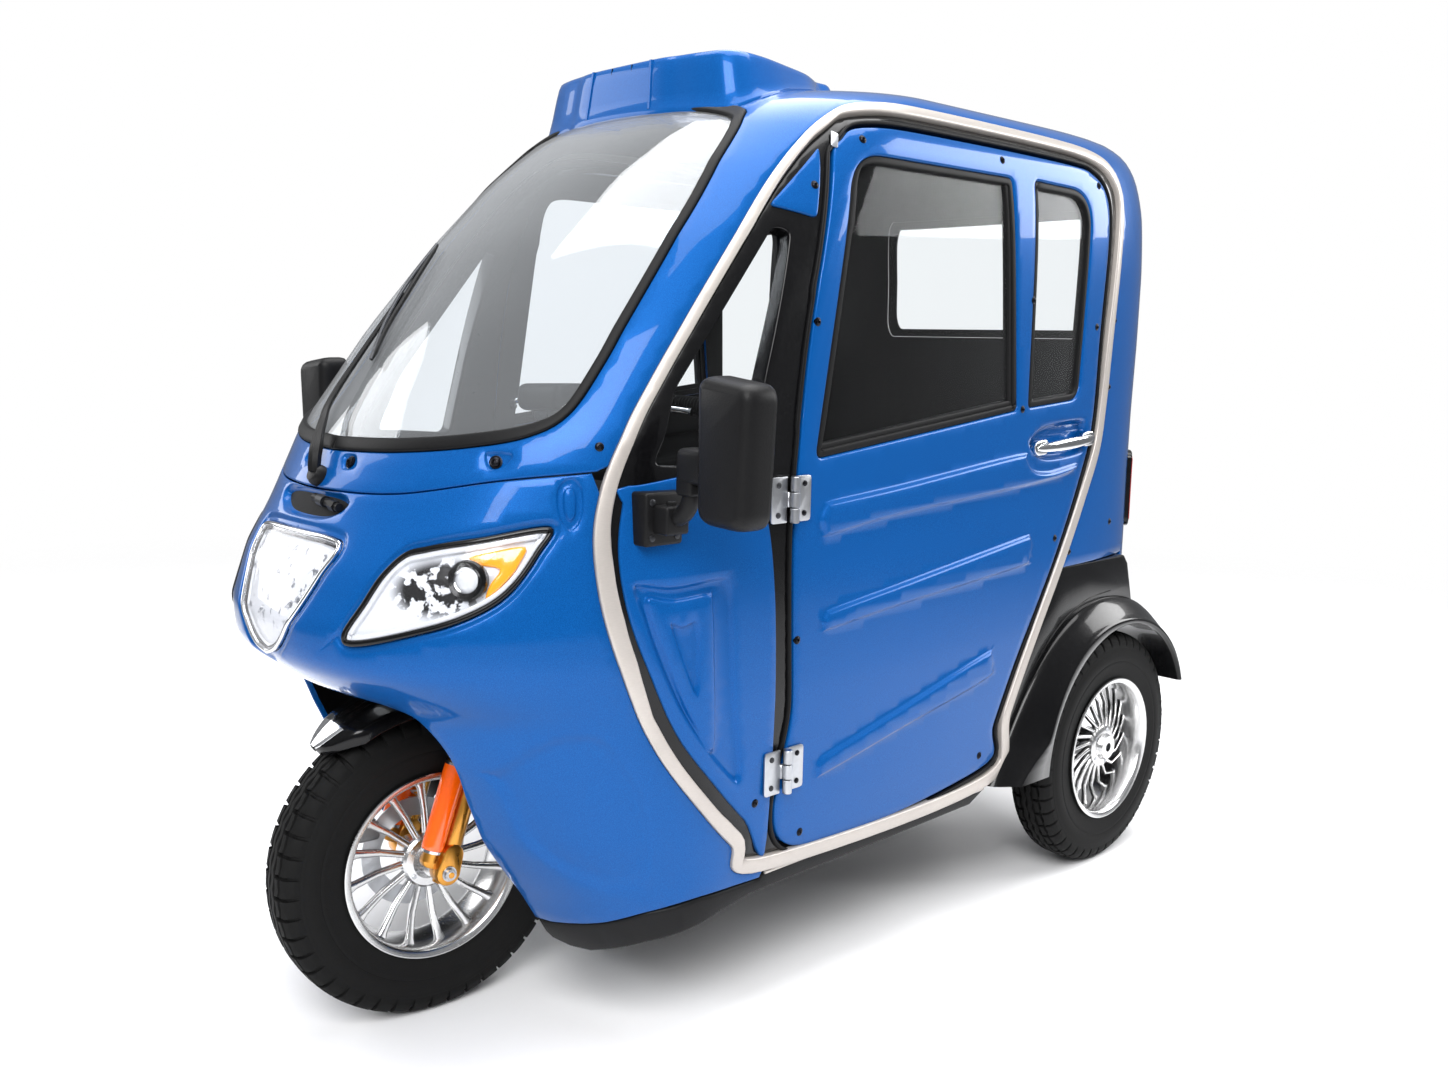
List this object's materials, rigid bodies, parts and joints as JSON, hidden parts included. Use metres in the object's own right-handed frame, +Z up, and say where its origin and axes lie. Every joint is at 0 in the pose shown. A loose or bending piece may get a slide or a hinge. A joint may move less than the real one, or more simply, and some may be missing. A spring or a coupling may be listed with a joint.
{
  "type": "passenger tricycle",
  "caption": "Enclosed passenger tricycle with a steered front wheel, hinged side doors, curved windshield, roof scoop and free-turning wheels.",
  "frame": {"origin": "on the ground under the middle of the overall box", "axes": "+X to the vehicle's left, -Y ahead, +Z up"},
  "size_m": [1.31, 2.0014, 1.618],
  "materials": {
    "alloy": "polished",
    "black": "satin",
    "chrome": "polished",
    "glass": "clear",
    "gold": "gloss",
    "lamp": "clear",
    "orange": "gloss",
    "paint": "gloss",
    "red": "gloss",
    "rubber": "matte",
    "seat": "satin",
    "silver": "satin",
    "steel": "satin"
  },
  "bodies": {
    "body": {"chassis": "steel", "floor_pan": "black", "rear_axle": "steel", "battery": "black", "front_fascia": "paint", "body_shell": "paint", "roof_scoop": "paint", "windshield": "glass", "rear_window": "glass", "centre_light": "lamp", "wiper": "black", "dash": "black", "driver_seat": "seat", "driver_backrest": "seat", "rear_bench": "seat", "headlight_left": "lamp", "headlight_right": "lamp", "side_trim_left": "silver", "side_trim_right": "silver", "door_jamb_left": "black", "door_jamb_right": "black", "side_panel_left": "paint", "side_panel_right": "paint", "side_glass_left": "glass", "side_glass_right": "glass", "sill_left": "black", "sill_right": "black", "rear_fender_left": "black", "rear_fender_right": "black", "tail_light_left": "red", "tail_light_right": "red", "mirror_left": "black", "mirror_right": "black", "leaf_spring_left": "steel", "leaf_spring_right": "steel"},
    "steering": {"fork": "gold", "shock_left": "orange", "shock_right": "orange", "front_fender": "black", "handlebar": "black"},
    "front_wheel": {"front_tyre": "rubber", "front_rim": "alloy"},
    "rear_wheel_left": {"rear_left_tyre": "rubber", "rear_left_rim": "alloy"},
    "rear_wheel_right": {"rear_right_tyre": "rubber", "rear_right_rim": "alloy"},
    "door_left_swing": {"door_left": "paint", "door_glass_left": "glass", "vent_glass_left": "glass", "door_handle_left": "chrome"},
    "door_right_swing": {"door_right": "paint", "door_glass_right": "glass", "vent_glass_right": "glass", "door_handle_right": "chrome"}
  },
  "joints": [
    {"name": "steer", "type": "hinge", "parent": "body", "child": "steering", "pos_m": [0, -0.7, 0.26], "axis": [0, 0.342, 0.9397], "range_deg": [-29, 41]},
    {"name": "front_wheel_spin", "type": "hinge", "parent": "steering", "child": "front_wheel", "pos_m": [-0.00285, -0.72886, 0.25995], "axis": [0.9945, -0.0982, 0.0358], "continuous": true},
    {"name": "rear_wheel_left_spin", "type": "hinge", "parent": "body", "child": "rear_wheel_left", "pos_m": [0.408, 0.729, 0.26], "axis": [1, 0, 0], "continuous": true},
    {"name": "rear_wheel_right_spin", "type": "hinge", "parent": "body", "child": "rear_wheel_right", "pos_m": [-0.408, 0.729, 0.26], "axis": [1, 0, 0], "continuous": true},
    {"name": "door_left", "type": "hinge", "parent": "body", "child": "door_left_swing", "pos_m": [0.462, -0.322, 0.3], "axis": [0, 0, -1], "range_deg": [0, 70]},
    {"name": "door_right", "type": "hinge", "parent": "body", "child": "door_right_swing", "pos_m": [-0.462, -0.322, 0.3], "axis": [0, 0, 1], "range_deg": [0, 70]}
  ]
}
